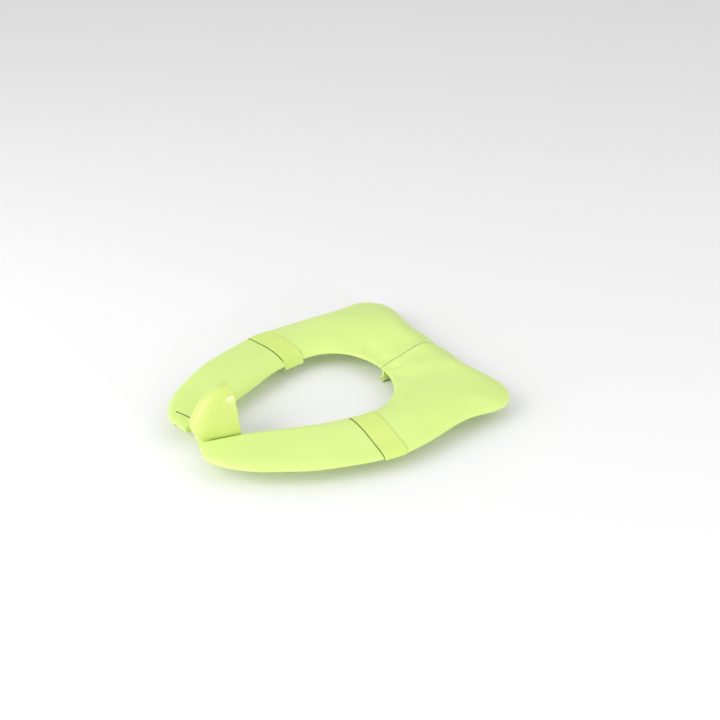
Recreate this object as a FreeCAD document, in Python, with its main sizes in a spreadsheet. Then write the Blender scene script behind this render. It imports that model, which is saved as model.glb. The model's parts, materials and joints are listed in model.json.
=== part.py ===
import FreeCAD
import Part
import Sketcher
import math
import os

os.makedirs("parts", exist_ok=True)
doc = FreeCAD.newDocument("potty_seat")
V = FreeCAD.Vector

# Driving dimensions in millimetres. +Z is up, +Y points to the rear of the seat,
# the seat is symmetric about X = 0, and Z = 0 is the plane the pads rest on.
sheet = doc.addObject("Spreadsheet::Sheet", "dims")
DIMENSIONS = [
    ("skin_thickness", 2.4),
    ("seam_half_gap", 0.25),
    ("fold_seam_gap", 0.5),
    ("side_axis_height", 5.3),
    ("centre_axis_height", -6.5),
    ("knuckle_radius", 3.3),
    ("pin_radius", 1.3),
    ("pin_bore_radius", 1.35),
    ("side_pin_length", 37.0),
    ("centre_pin_length", 31.8),
    ("knuckle_gap", 0.4),
    ("web_seam_gap", 0.4),
    ("web_thickness", 5.0),
    ("band_thickness", 0.9),
    ("band_clearance", 0.05),
    ("band_length", 26.0),
    ("band_skirt_bottom", 2.3),
    ("pad_height", 3.0),
    ("pad_stem_radius", 2.0),
    ("pad_stem_length", 3.0),
    ("front_pad_radius", 6.0),
    ("ear_pad_radius", 8.0),
    ("boss_margin", 1.0),
    ("guard_thickness", 2.6),
    ("slit_width", 1.4),
]
for row, (alias, value) in enumerate(DIMENSIONS, start=1):
    sheet.set("A%d" % row, alias)
    sheet.set("B%d" % row, "%g" % value)
    sheet.setAlias("B%d" % row, alias)
doc.recompute()


def dim(alias):
    return float(sheet.get(alias))


SKIN = dim("skin_thickness")
AXIS_Z = dim("side_axis_height")
FOLD_Z = dim("centre_axis_height")

# Where across the width of the ring the crown heights below are given, and how far
# the first and last of them move out when the section is offset.
CROWN_AT = (0.05, 0.25, 0.5, 0.75, 0.95)
CROWN_SLIDE = (-0.7, 0.0, 0.0, 0.0, 0.7)

# How far the rim's middle point lies below half way up the rim.
RIM_WAIST = 0.4

# Stations round the right half of the ring, from the front end to the centre seam:
# inner edge (x, y), outer edge (x, y), crown heights, inner and outer rim bottoms.
FRONT_STATIONS = [
    ((13.2, -160.4), (31.0, -165.0), (9.6, 10.8, 11.2, 11.0, 10.2), 6.0, 7.6),
    ((14.6, -156.0), (44.5, -165.2), (10.6, 12.6, 13.0, 12.6, 11.4), 5.2, 8.2),
    ((17.6, -147.5), (59.0, -159.2), (12.1, 14.0, 14.2, 13.8, 12.2), 4.4, 8.8),
    ((22.6, -132.0), (73.5, -148.3), (13.1, 14.8, 15.0, 14.5, 12.8), 4.0, 9.0),
    ((28.1, -114.0), (88.5, -131.5), (14.0, 15.5, 15.4, 14.9, 13.0), 4.2, 9.0),
    ((35.0, -95.5), (102.5, -110.2), (14.1, 15.7, 15.6, 15.0, 13.0), 4.8, 9.0),
    ((42.8, -76.0), (114.8, -89.5), (14.0, 15.9, 15.8, 15.0, 12.6), 5.5, 8.8),
    ((50.7, -56.0), (125.2, -64.5), (13.9, 16.2, 16.0, 14.8, 12.2), 5.8, 8.4),
    ((58.2, -34.0), (132.8, -41.0), (13.6, 16.5, 16.2, 14.2, 11.6), 8.0, 7.8),
    ((61.4, -20.0), (136.9, -26.5), (13.4, 16.5, 16.3, 13.9, 11.3), 8.9, 7.5),
    ((64.5, -6.0), (140.3, -12.0), (13.3, 16.5, 16.4, 13.6, 11.0), 9.5, 7.2),
]
REAR_STATIONS = [
    ((62.5, -20.0), (137.4, -26.0), (13.3, 16.9, 16.4, 13.6, 11.0), 6.6, 7.2),
    ((66.5, -3.0), (141.0, -8.0), (13.3, 17.2, 16.6, 13.8, 11.0), 6.5, 6.8),
    ((67.8, 14.0), (142.0, 12.0), (13.2, 17.4, 17.4, 14.6, 11.2), 6.6, 6.6),
    ((66.0, 30.0), (140.5, 38.0), (13.1, 18.2, 19.0, 16.4, 12.2), 7.2, 7.5),
    ((61.0, 43.0), (137.3, 62.0), (12.7, 18.3, 20.4, 18.6, 13.8), 7.8, 8.8),
    ((53.5, 54.0), (134.6, 84.0), (12.5, 17.9, 21.4, 20.8, 15.0), 7.9, 9.8),
    ((44.5, 62.5), (134.8, 106.0), (11.8, 17.3, 22.2, 21.0, 14.4), 7.8, 9.2),
    ((34.5, 68.5), (137.0, 130.0), (11.6, 16.9, 22.8, 20.4, 14.2), 7.6, 7.0),
    ((25.5, 72.5), (128.0, 156.0), (11.0, 16.4, 22.6, 19.6, 13.4), 7.5, 5.4),
    ((17.0, 75.0), (101.0, 167.5), (10.7, 15.8, 22.4, 21.0, 12.6), 7.3, 5.2),
    ((9.0, 76.5), (52.0, 159.0), (10.4, 15.0, 20.4, 23.0, 14.4), 7.0, 6.8),
    ((0.0, 77.0), (0.0, 155.5), (10.2, 14.4, 19.0, 21.8, 14.6), 6.5, 7.5),
]

# The side seam and its hinge axis: a line in plan that runs slightly forwards to the outside.
SEAM_INNER = V(59.8, -11.7, 0)
SEAM_OUTER = V(139.2, -18.2, 0)
SEAM_DIR = (SEAM_OUTER - SEAM_INNER).normalize()
SEAM_BACK = V(-SEAM_DIR.y, SEAM_DIR.x, 0)


def profile(station, lift):
    """Points of the outside of one cross-section, from the inner rim bottom to the outer rim bottom."""
    inner, outer, crown, inner_bottom, outer_bottom = station
    start = V(inner[0], inner[1], 0)
    across = V(outer[0] - inner[0], outer[1] - inner[1], 0)
    width = across.Length
    across.normalize()
    flat = [(-lift, inner_bottom)]
    flat.append((-lift, 0.5 * (inner_bottom + crown[0]) - RIM_WAIST))
    for share, slide, height in zip(CROWN_AT, CROWN_SLIDE, crown):
        flat.append((share * width + slide * lift, height + lift))
    flat.append((width + lift, 0.5 * (outer_bottom + crown[4]) - RIM_WAIST))
    flat.append((width + lift, outer_bottom))
    return [start + across * d + V(0, 0, z) for d, z in flat]


def spline_edge(points):
    curve = Part.BSplineCurve()
    curve.interpolate(points)
    return curve.toShape()


def channel_wire(station, lift, depth):
    """A closed channel section: the outside profile and the same one set in by the skin."""
    upper = profile(station, lift)
    lower = profile(station, lift - depth)
    lower.reverse()
    edges = [
        spline_edge(upper),
        Part.makeLine(upper[-1], lower[0]),
        spline_edge(lower),
        Part.makeLine(lower[-1], upper[0]),
    ]
    return Part.Wire(edges)


def filled_wire(station, lift, floor):
    """A closed section under the outside profile, filled down to a flat floor."""
    upper = profile(station, lift)
    first = V(upper[0].x, upper[0].y, floor)
    last = V(upper[-1].x, upper[-1].y, floor)
    edges = [
        spline_edge(upper),
        Part.makeLine(upper[-1], last),
        Part.makeLine(last, first),
        Part.makeLine(first, upper[0]),
    ]
    return Part.Wire(edges)


def shell(stations, lift=0.0, depth=SKIN):
    return Part.makeLoft([channel_wire(s, lift, depth) for s in stations], True, False)


def filled(stations, lift=0.0, floor=-30.0):
    return Part.makeLoft([filled_wire(s, lift, floor) for s in stations], True, False)


def half_space(origin, direction, size=600.0):
    """A large block that starts at origin and extends along a horizontal direction."""
    block = Part.makeBox(size, size, size, V(0, -size / 2, -size / 2))
    turn = FreeCAD.Rotation(V(1, 0, 0), direction)
    block.Placement = FreeCAD.Placement(origin, turn)
    return block


def seam_block(side_length, back_from, back_to, along_from, low, high):
    """A block laid along the side seam, measured from the inner end of the seam."""
    block = Part.makeBox(side_length, back_to - back_from, high - low)
    turn = FreeCAD.Rotation(V(1, 0, 0), SEAM_DIR)
    origin = SEAM_INNER + SEAM_DIR * along_from + SEAM_BACK * back_from + V(0, 0, low)
    block.Placement = FreeCAD.Placement(origin, turn)
    return block


def mirrored(shape):
    return shape.mirror(V(0, 0, 0), V(1, 0, 0))


def seam_cylinder(radius, along_from, along_to):
    start = SEAM_INNER + SEAM_DIR * along_from + V(0, 0, AXIS_Z)
    return Part.makeCylinder(radius, along_to - along_from, start, SEAM_DIR)


def centre_cylinder(radius, y_from, y_to):
    return Part.makeCylinder(radius, y_to - y_from, V(0, y_from, FOLD_Z), V(0, 1, 0))


def pockets(start, end, count, wanted):
    """The spans of every second knuckle out of a row of equal ones."""
    gap = dim("knuckle_gap")
    pitch = (end - start) / count
    return [(start + k * pitch + gap / 2, start + (k + 1) * pitch - gap / 2) for k in wanted]


SIDE_ROW = (12.0, 48.0)
CENTRE_ROW = (77.6, 110.6)
KNUCKLE = dim("knuckle_radius")
BORE = dim("pin_bore_radius")
WEB_START = dim("web_seam_gap")
WEB = dim("web_thickness")


def side_knuckles(wanted, sense, envelope):
    """Hinge knuckles under the side seam, each hung from the skin on a web."""
    solids = []
    for start, end in pockets(SIDE_ROW[0], SIDE_ROW[1], 5, wanted):
        near, far = sorted((sense * WEB_START, sense * WEB))
        web = seam_block(end - start, near, far, start, AXIS_Z, 30.0).common(envelope)
        solids.append(web.fuse(seam_cylinder(KNUCKLE, start, end)))
    return solids


def centre_knuckles(wanted, envelope):
    """Hinge knuckles under the inner end of the centre seam."""
    seam = dim("seam_half_gap")
    solids = []
    for start, end in pockets(CENTRE_ROW[0], CENTRE_ROW[1], 5, wanted):
        web = Part.makeBox(KNUCKLE - seam, end - start, 40.0, V(seam, start, FOLD_Z))
        solids.append(web.common(envelope).fuse(centre_cylinder(KNUCKLE, start, end)))
    return solids


def boss(x, y, radius, envelope):
    """A post under the skin that carries a pad."""
    post = Part.makeCylinder(radius, 40.0, V(x, y, dim("pad_height")))
    return post.common(envelope)


def stem_bore(x, y):
    return Part.makeCylinder(dim("pad_stem_radius"), dim("pad_stem_length"), V(x, y, dim("pad_height")))


def assembled(body, adds, tools):
    """One solid: the skin with its pieces joined on and its holes cut."""
    for piece in adds:
        body = body.fuse(piece)
    for tool in tools:
        body = body.cut(tool)
    return body.removeSplitter()


FRONT_PAD = (58.0, -135.0)
EAR_PAD = (110.0, 148.0)

# How far the end wall stands back from the open end of the front panel's skin, and its lower edge.
END_INSET = 0.3
END_FLOOR = 7.4


def front_half():
    """One front panel, drawn on the right: skin, end wall, knuckles, pad post and guard ledge."""
    gap = dim("fold_seam_gap") / 2
    ahead = half_space(SEAM_INNER - SEAM_BACK * gap, SEAM_BACK * -1)
    envelope = filled(FRONT_STATIONS, -SKIN / 2).common(ahead)
    body = shell(FRONT_STATIONS).common(ahead)
    end_inner = V(FRONT_STATIONS[0][0][0], FRONT_STATIONS[0][0][1], 0)
    end_outer = V(FRONT_STATIONS[0][1][0], FRONT_STATIONS[0][1][1], 0)
    end_dir = (end_outer - end_inner).normalize()
    wall = Part.makeBox(60.0, SKIN, 40.0)
    corner = end_inner - end_dir * 10.0 + V(0, END_INSET, END_FLOOR)
    wall.Placement = FreeCAD.Placement(corner, FreeCAD.Rotation(V(1, 0, 0), end_dir))
    adds = [wall.common(envelope)]
    adds += side_knuckles((1, 3), -1, envelope)
    adds.append(boss(FRONT_PAD[0], FRONT_PAD[1], dim("front_pad_radius") - dim("boss_margin"), envelope))
    adds += guard_ledge(envelope)
    tools = [seam_cylinder(BORE, 0.0, 80.0), stem_bore(FRONT_PAD[0], FRONT_PAD[1])]
    return assembled(body, adds, tools)


def guard_ledge(envelope):
    """A bracket under the inner edge that the splash guard's skirt stands on."""
    start = V(19.4, -142.6, 0)
    end = V(26.3, -121.0, 0)
    along = (end - start).normalize()
    length = (end - start).Length
    turn = FreeCAD.Rotation(V(1, 0, 0), along)
    plate = Part.makeBox(length, SKIN, 10.0, V(0, -SKIN, 1.2))
    ledge = Part.makeBox(length, 5.2, 2.0, V(0, -SKIN, 1.2))
    plate.Placement = FreeCAD.Placement(start, turn)
    ledge.Placement = FreeCAD.Placement(start, turn)
    return [plate.common(envelope), ledge]


def rear_half(left):
    """One rear panel, drawn on the right: skin, seam wall, knuckles and pad posts."""
    gap = dim("fold_seam_gap") / 2
    seam = dim("seam_half_gap")
    behind = half_space(SEAM_INNER + SEAM_BACK * gap, SEAM_BACK)
    behind = behind.common(half_space(V(seam, 0, 0), V(1, 0, 0)))
    envelope = filled(REAR_STATIONS, -SKIN / 2).common(behind)
    body = shell(REAR_STATIONS).common(behind)
    adds = [Part.makeBox(SKIN, 90.0, 40.0, V(seam, 75.0, 5.0)).common(envelope)]
    adds += side_knuckles((0, 2, 4), 1, envelope)
    adds += centre_knuckles((1, 3) if left else (0, 2, 4), envelope)
    margin = dim("boss_margin")
    adds.append(boss(EAR_PAD[0], EAR_PAD[1], dim("ear_pad_radius") - margin, envelope))
    tools = [
        seam_cylinder(BORE, 0.0, 80.0),
        centre_cylinder(BORE, CENTRE_ROW[0] - 5.0, CENTRE_ROW[1] + 5.0),
        stem_bore(EAR_PAD[0], EAR_PAD[1]),
    ]
    return assembled(body, adds, tools)


# The band is drawn this much too thick inwards, and the rear panel's outside is cut from it.
BAND_OVERLAP = 0.6


def hinge_band():
    """The matt band that wraps the rear panel next to the side seam, with a deep inner skirt."""
    clearance = dim("band_clearance")
    thickness = dim("band_thickness")
    gap = dim("fold_seam_gap") / 2
    skirt = dim("band_skirt_bottom")
    deep = [(inner, outer, crown, skirt, bottom) for inner, outer, crown, _, bottom in REAR_STATIONS]
    span = seam_block(200.0, gap, gap + dim("band_length"), -30.0, -5.0, 40.0)
    sleeve = shell(deep, clearance + thickness, thickness + BAND_OVERLAP).common(span)
    return sleeve.cut(filled(REAR_STATIONS, clearance).common(span))


def slit():
    """A narrow slit through the skin of the left front panel, beside the guard."""
    start = V(-44.4, -157.2, 7.0)
    end = V(-20.0, -147.8, 7.0)
    tool = Part.makeBox((end - start).Length, dim("slit_width"), 20.0)
    tool.Placement = FreeCAD.Placement(start, FreeCAD.Rotation(V(1, 0, 0), end - start))
    return tool


# Splash guard levels: height, half width at the rear edge, rear y, front y, roundness.
GUARD_LEVELS = [
    (3.5, 25.8, -117.6, -156.4, 0.0),
    (10.0, 25.8, -117.4, -157.4, 0.0),
    (21.4, 22.8, -117.0, -160.8, 0.25),
    (34.0, 19.3, -116.6, -156.2, 0.5),
    (45.0, 15.8, -116.4, -148.4, 0.75),
    (52.0, 12.8, -116.4, -140.2, 0.9),
    (55.8, 9.6, -116.5, -133.4, 1.0),
    (58.0, 6.0, -117.0, -128.4, 1.0),
    (59.0, 2.6, -118.0, -124.0, 1.0),
]
TAPERED = [(1.0, 0.0), (0.85, 0.36), (0.67, 0.68), (0.48, 0.9), (0.24, 0.985), (0.0, 1.0)]
ROUND = [(math.cos(a * math.pi / 10), math.sin(a * math.pi / 10)) for a in range(6)]


def guard_section(level, inset, drop, overrun):
    """A closed D-shaped section of the guard; overrun pushes its flat side out to the rear."""
    height, half_width, rear, front, roundness = level
    half = []
    for (tx, ty), (rx, ry) in zip(TAPERED, ROUND):
        x = (tx + (rx - tx) * roundness) * (half_width - inset)
        y = (ty + (ry - ty) * roundness) * (rear - front - inset)
        half.append((x, rear - y))
    left = [(-x, y) for x, y in reversed(half[:-1])]
    points = [V(x, y, height - drop) for x, y in half + left]
    back_left = points[-1] + V(0, overrun, 0)
    back_right = points[0] + V(0, overrun, 0)
    edges = [spline_edge(points), Part.makeLine(points[-1], back_left)]
    edges += [Part.makeLine(back_left, back_right), Part.makeLine(back_right, points[0])]
    return Part.Wire(edges)


def splash_guard():
    """A bow-shaped shield, open to the rear and below, closed over the top."""
    thickness = dim("guard_thickness")
    outer = [guard_section(level, 0.0, 0.0, 0.2) for level in GUARD_LEVELS]
    inner = [guard_section(level, thickness, 1.8, 6.0) for level in GUARD_LEVELS[:-1]]
    return Part.makeLoft(outer, True, False).cut(Part.makeLoft(inner, True, False))


def add_feature(label, shape):
    feature = doc.addObject("Part::Feature", label)
    feature.Label = label
    feature.Shape = shape
    feature.Placement = FreeCAD.Placement()
    return feature


def add_pin(label, length_alias, origin, direction):
    pin = doc.addObject("Part::Cylinder", label)
    pin.Label = label
    pin.setExpression("Radius", "dims.pin_radius")
    pin.setExpression("Height", "dims." + length_alias)
    pin.Placement = FreeCAD.Placement(origin, FreeCAD.Rotation(V(0, 0, 1), direction))
    return pin


def add_pad(label, radius_alias, x, y):
    """A silicone pad with a stem, as one revolved profile bound to the sheet."""
    body = doc.addObject("PartDesign::Body", label)
    body.Label = label
    sketch = body.newObject("Sketcher::SketchObject", label + "_profile")
    sketch.AttachmentSupport = (body.Origin.OriginFeatures[4], [""])
    sketch.MapMode = "FlatFace"
    radius = dim(radius_alias)
    height = dim("pad_height")
    stem = dim("pad_stem_radius")
    top = height + dim("pad_stem_length")
    corners = [(0, 0), (radius, 0), (radius, height), (stem, height), (stem, top), (0, top)]
    for k in range(6):
        first = V(corners[k][0], corners[k][1], 0)
        second = V(corners[(k + 1) % 6][0], corners[(k + 1) % 6][1], 0)
        sketch.addGeometry(Part.LineSegment(first, second), False)
    for k in range(6):
        sketch.addConstraint(Sketcher.Constraint("Coincident", k, 2, (k + 1) % 6, 1))
        kind = "Horizontal" if k % 2 == 0 else "Vertical"
        sketch.addConstraint(Sketcher.Constraint(kind, k))
    sketch.addConstraint(Sketcher.Constraint("Coincident", 0, 1, -1, 1))
    sizes = [
        ("DistanceX", 0, 1, 0, 2, radius, "dims." + radius_alias),
        ("DistanceY", 1, 1, 1, 2, height, "dims.pad_height"),
        ("DistanceX", 4, 2, 4, 1, stem, "dims.pad_stem_radius"),
        ("DistanceY", 3, 1, 3, 2, top - height, "dims.pad_stem_length"),
    ]
    for kind, a, end_a, b, end_b, value, expression in sizes:
        index = sketch.addConstraint(Sketcher.Constraint(kind, a, end_a, b, end_b, value))
        sketch.setExpression("Constraints[%d]" % index, expression)
    spin = body.newObject("PartDesign::Revolution", label + "_turned")
    spin.Profile = sketch
    spin.ReferenceAxis = (sketch, ["V_Axis"])
    spin.Angle = 360.0
    body.Placement = FreeCAD.Placement(V(x, y, 0), FreeCAD.Rotation())
    return body


rear_right = rear_half(False)
rear_left = mirrored(rear_half(True))
front_right = front_half()
front_left = mirrored(front_right).cut(slit())
band = hinge_band()

parts = [
    add_feature("rear_right_panel", rear_right),
    add_feature("rear_left_panel", rear_left),
    add_feature("front_right_panel", front_right),
    add_feature("front_left_panel", front_left),
    add_feature("right_hinge_band", band),
    add_feature("left_hinge_band", mirrored(band)),
    add_feature("splash_guard", splash_guard()),
]
side_start = SEAM_INNER + SEAM_DIR * (SIDE_ROW[0] - 0.5) + V(0, 0, AXIS_Z)
left_start = V(-side_start.x, side_start.y, side_start.z)
left_dir = V(-SEAM_DIR.x, SEAM_DIR.y, 0)
parts.append(add_pin("right_hinge_pin", "side_pin_length", side_start, SEAM_DIR))
parts.append(add_pin("left_hinge_pin", "side_pin_length", left_start, left_dir))
pin_start = V(0, CENTRE_ROW[0] + 0.6, FOLD_Z)
parts.append(add_pin("centre_hinge_pin", "centre_pin_length", pin_start, V(0, 1, 0)))
for side, sense in (("right", 1), ("left", -1)):
    parts.append(add_pad("front_" + side + "_pad", "front_pad_radius", sense * FRONT_PAD[0], FRONT_PAD[1]))
    parts.append(add_pad("ear_" + side + "_pad", "ear_pad_radius", sense * EAR_PAD[0], EAR_PAD[1]))

doc.recompute()


def checked_solid(part):
    """The part's one solid, once its state and its shape are sound."""
    shape = part.Shape
    assert not shape.isNull() and shape.isValid(), part.Label
    assert "Invalid" not in part.State and "Error" not in part.State, part.Label
    assert len(shape.Solids) == 1, part.Label
    return shape.Solids[0] if shape.ShapeType == "Compound" else shape


for part in parts:
    solid = checked_solid(part)
    solid.exportStep("parts/" + part.Label + ".step")
    print(part.Label, round(solid.Volume))
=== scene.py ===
import json
import math

import bpy
from mathutils import Matrix, Vector


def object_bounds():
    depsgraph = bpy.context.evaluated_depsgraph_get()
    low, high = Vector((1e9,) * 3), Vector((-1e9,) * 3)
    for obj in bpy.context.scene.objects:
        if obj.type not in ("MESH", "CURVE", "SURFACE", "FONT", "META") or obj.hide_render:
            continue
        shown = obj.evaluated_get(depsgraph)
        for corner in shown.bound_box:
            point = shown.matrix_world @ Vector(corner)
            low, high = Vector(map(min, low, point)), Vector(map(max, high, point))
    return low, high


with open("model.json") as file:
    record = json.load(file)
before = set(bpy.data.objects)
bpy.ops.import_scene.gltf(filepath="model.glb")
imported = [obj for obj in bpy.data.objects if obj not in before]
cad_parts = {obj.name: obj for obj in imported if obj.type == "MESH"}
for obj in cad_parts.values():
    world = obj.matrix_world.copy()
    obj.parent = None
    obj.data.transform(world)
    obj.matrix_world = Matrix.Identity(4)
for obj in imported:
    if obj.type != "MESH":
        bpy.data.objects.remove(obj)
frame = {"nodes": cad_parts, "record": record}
cad_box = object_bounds()
nodes = frame["nodes"]


# ---------------------------------------------------------------- materials
# Lengths are in metres. A noise scale is in cells per metre.

# Painted shade: an occlusion lookup darkens the base colour towards this green in slits, seams,
# bores and where parts meet.
CREVICE_PAINTED_SHADE = (0.03, 0.07, 0.003, 1)
PAINTED_SHADE_REACH = 0.0024
PAINTED_SHADE_SAMPLES = 8
PAINTED_SHADE_FULL = 0.42
PAINTED_SHADE_NONE = 0.85

EDGE_RADIUS = 0.0007
EDGE_SAMPLES = 6
DRIFT_SCALE = 14.0
HANDLING_SCALE = 60.0
FLOW_SCALE = 9.0
FLOW_HEIGHT = 0.0004
FLOW_STRENGTH = 0.2
GRAIN_STRENGTH = 0.35
PLASTIC_IOR = 1.49
COAT_ROUGHNESS = 0.12
PLASTIC_DEPTH = (0.004, 0.006, 0.0015)

STEEL_MARKS_SCALE = 900.0
DUST_SCALE = 220.0
DUST_HEIGHT = 0.0001
SILICONE_DEPTH = (0.003, 0.003, 0.003)


def new_material(name):
    material = bpy.data.materials.new(name)
    material.use_nodes = True
    tree = material.node_tree
    shader = tree.nodes["Principled BSDF"]
    return material, tree, shader


def noise(tree, scale, detail, coords):
    """Returns the value of a noise that is fixed to the piece."""
    node = tree.nodes.new("ShaderNodeTexNoise")
    node.inputs["Scale"].default_value = scale
    node.inputs["Detail"].default_value = detail
    tree.links.new(coords.outputs["Object"], node.inputs["Vector"])
    return node.outputs["Fac"]


def ramp(tree, source, stops):
    """Returns the colour that two stops, each a position and a colour, give to a value."""
    node = tree.nodes.new("ShaderNodeValToRGB")
    for element, (position, colour) in zip(node.color_ramp.elements, stops):
        element.position = position
        element.color = colour
    tree.links.new(source, node.inputs["Fac"])
    return node.outputs["Color"]


def bump(tree, height, strength, distance, normal=None):
    """Returns a normal roughened by a height, on top of another normal if one is given."""
    node = tree.nodes.new("ShaderNodeBump")
    node.inputs["Strength"].default_value = strength
    node.inputs["Distance"].default_value = distance
    tree.links.new(height, node.inputs["Height"])
    if normal:
        tree.links.new(normal, node.inputs["Normal"])
    return node.outputs["Normal"]


def grey(value):
    return (value, value, value, 1.0)


def paint_crevice_shade(tree, colour, shader):
    """Paints shade into the moulding colour in slits, seams and bores, where an occlusion lookup
    finds close walls.
    """
    shade = tree.nodes.new("ShaderNodeAmbientOcclusion")
    shade.samples = PAINTED_SHADE_SAMPLES
    shade.inputs["Distance"].default_value = PAINTED_SHADE_REACH
    stops = [(PAINTED_SHADE_FULL, grey(0.0)), (PAINTED_SHADE_NONE, grey(1.0))]
    openness = ramp(tree, shade.outputs["AO"], stops)
    mix = tree.nodes.new("ShaderNodeMix")
    mix.data_type = "RGBA"
    mix.inputs["A"].default_value = CREVICE_PAINTED_SHADE
    tree.links.new(openness, mix.inputs["Factor"])
    tree.links.new(colour, mix.inputs["B"])
    tree.links.new(mix.outputs["Result"], shader.inputs["Base Color"])


def plastic(name, low, high, rough, grain_scale, grain_height, coat):
    """Moulded plastic: slow colour drift, painted shade in crevices, uneven gloss, grain, faint
    flow marks, eased edges.
    """
    material, tree, shader = new_material(name)
    coords = tree.nodes.new("ShaderNodeTexCoord")
    drift = noise(tree, DRIFT_SCALE, 3.0, coords)
    # The base colour carries painted shade in crevices on top of its colour drift.
    paint_crevice_shade(tree, ramp(tree, drift, [(0.3, low), (0.7, high)]), shader)
    handling = noise(tree, HANDLING_SCALE, 6.0, coords)
    gloss = ramp(tree, handling, [(0.35, grey(rough[0])), (0.7, grey(rough[1]))])
    tree.links.new(gloss, shader.inputs["Roughness"])

    edges = tree.nodes.new("ShaderNodeBevel")
    edges.samples = EDGE_SAMPLES
    edges.inputs["Radius"].default_value = EDGE_RADIUS
    grain = noise(tree, grain_scale, 4.0, coords)
    fine = bump(tree, grain, GRAIN_STRENGTH, grain_height, edges.outputs["Normal"])
    flow = noise(tree, FLOW_SCALE, 1.0, coords)
    broad = bump(tree, flow, FLOW_STRENGTH, FLOW_HEIGHT, fine)
    tree.links.new(broad, shader.inputs["Normal"])

    shader.inputs["IOR"].default_value = PLASTIC_IOR
    shader.inputs["Coat Weight"].default_value = coat
    shader.inputs["Coat Roughness"].default_value = COAT_ROUGHNESS
    shader.inputs["Subsurface Weight"].default_value = 0.06
    shader.inputs["Subsurface Radius"].default_value = PLASTIC_DEPTH
    shader.inputs["Subsurface Scale"].default_value = 1.0
    return material


def steel():
    """Drawn steel of the hinge pins, with fine marks."""
    material, tree, shader = new_material("pin_steel")
    coords = tree.nodes.new("ShaderNodeTexCoord")
    marks = noise(tree, STEEL_MARKS_SCALE, 5.0, coords)
    gloss = ramp(tree, marks, [(0.3, grey(0.22)), (0.7, grey(0.38))])
    tree.links.new(gloss, shader.inputs["Roughness"])
    tone = ramp(tree, marks, [(0.2, (0.5, 0.51, 0.53, 1)), (0.8, (0.68, 0.69, 0.71, 1))])
    tree.links.new(tone, shader.inputs["Base Color"])
    shader.inputs["Metallic"].default_value = 1.0
    return material


def silicone():
    """Pale, slightly dusty silicone of the pads."""
    material, tree, shader = new_material("pad_silicone")
    coords = tree.nodes.new("ShaderNodeTexCoord")
    dust = noise(tree, DUST_SCALE, 6.0, coords)
    tone = ramp(tree, dust, [(0.3, (0.72, 0.74, 0.7, 1)), (0.75, (0.86, 0.87, 0.84, 1))])
    tree.links.new(tone, shader.inputs["Base Color"])
    gloss = ramp(tree, dust, [(0.3, grey(0.55)), (0.7, grey(0.72))])
    tree.links.new(gloss, shader.inputs["Roughness"])
    tree.links.new(bump(tree, dust, 0.3, DUST_HEIGHT), shader.inputs["Normal"])
    shader.inputs["Subsurface Weight"].default_value = 0.2
    shader.inputs["Subsurface Radius"].default_value = SILICONE_DEPTH
    return material


finishes = {
    "panel_plastic": plastic(
        "panel_plastic", (0.665, 0.855, 0.24, 1), (0.7, 0.885, 0.27, 1),
        rough=(0.4, 0.52), grain_scale=1800.0, grain_height=0.00004, coat=0.0,
    ),
    "band_plastic": plastic(
        "band_plastic", (0.655, 0.835, 0.195, 1), (0.69, 0.865, 0.22, 1),
        rough=(0.58, 0.7), grain_scale=1300.0, grain_height=0.00008, coat=0.0,
    ),
    "guard_plastic": plastic(
        "guard_plastic", (0.625, 0.765, 0.178, 1), (0.67, 0.795, 0.213, 1),
        rough=(0.2, 0.3), grain_scale=1900.0, grain_height=0.00002, coat=0.2,
    ),
    "pin_steel": steel(),
    "pad_silicone": silicone(),
}
for part in frame["record"]["subparts"]:
    for slot in nodes[part["node"]].material_slots:
        slot.material = finishes[part["material_slot"]]


# ---------------------------------------------------------------- stage

FLOOR_SIZE = 80.0
FLOOR_GAP = 0.0005
FLOOR_TONE = 0.94
WORLD_STRENGTH = 0.7

# Name, place, aim, diameter and power of each round lamp. The small one at the side gives
# the guard its highlight.
LAMPS = [
    ("key", (-0.15, -1.5, 0.9), (0, 0, 0), 1.6, 18.0),
    ("side", (1.5, 0.14, 0.36), (0, -0.12, 0.05), 0.25, 4.0),
    ("fill", (1.2, 1.1, 1.3), (0, 0, 0), 1.4, 5.0),
]

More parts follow.
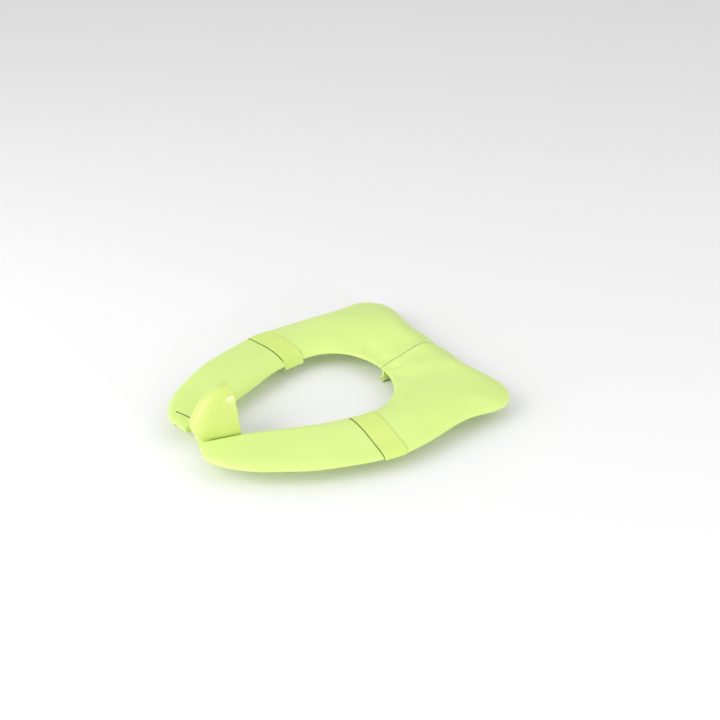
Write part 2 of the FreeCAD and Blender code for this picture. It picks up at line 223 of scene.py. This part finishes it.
floor_z = cad_box[0][2] - FLOOR_GAP
bpy.ops.mesh.primitive_plane_add(size=FLOOR_SIZE, location=(0, 0, floor_z))
floor = bpy.context.object
floor.name = "floor"
floor_material, _, floor_shader = new_material("floor_pale")
floor_shader.inputs["Base Color"].default_value = grey(FLOOR_TONE)
floor_shader.inputs["Roughness"].default_value = 0.6
floor.data.materials.append(floor_material)


def area_light(name, place, aim, diameter, power):
    data = bpy.data.lights.new(name, "AREA")
    data.shape = "DISK"
    data.size = diameter
    data.energy = power
    lamp = bpy.data.objects.new(name, data)
    lamp.location = place
    lamp.rotation_euler = (Vector(aim) - Vector(place)).to_track_quat("-Z", "Y").to_euler()
    bpy.context.scene.collection.objects.link(lamp)


for lamp_row in LAMPS:
    area_light(*lamp_row)

world = bpy.data.worlds.new("soft_white")
world.use_nodes = True
backdrop = world.node_tree.nodes["Background"]
backdrop.inputs["Color"].default_value = grey(1.0)
backdrop.inputs["Strength"].default_value = WORLD_STRENGTH
bpy.context.scene.world = world
bpy.context.scene.view_settings.view_transform = "Standard"


# ---------------------------------------------------------------- camera
# Azimuth turns from the front (-Y) towards the right (+X). Angles are in degrees.

CAMERA_AZIMUTH = 55.37
CAMERA_ELEVATION = 32.01
CAMERA_ROLL = 0.3
CAMERA_PLACE = (0.77785, -0.48973, 0.6203)
CAMERA_LENS = 50.2
CAMERA_SENSOR = 36.0

azimuth = math.radians(CAMERA_AZIMUTH)
elevation = math.radians(CAMERA_ELEVATION)
roll = math.radians(CAMERA_ROLL)
back = Vector((
    math.sin(azimuth) * math.cos(elevation),
    -math.cos(azimuth) * math.cos(elevation),
    math.sin(elevation),
))
right = Vector((math.cos(azimuth), math.sin(azimuth), 0))
up = back.cross(right)
turn = Matrix((
    right * math.cos(roll) + up * math.sin(roll),
    up * math.cos(roll) - right * math.sin(roll),
    back,
)).transposed()
lens = bpy.data.cameras.new("camera")
lens.lens = CAMERA_LENS
lens.sensor_width = CAMERA_SENSOR
camera = bpy.data.objects.new("camera", lens)
camera.matrix_world = Matrix.Translation(CAMERA_PLACE) @ turn.to_4x4()
bpy.context.scene.collection.objects.link(camera)
bpy.context.scene.camera = camera
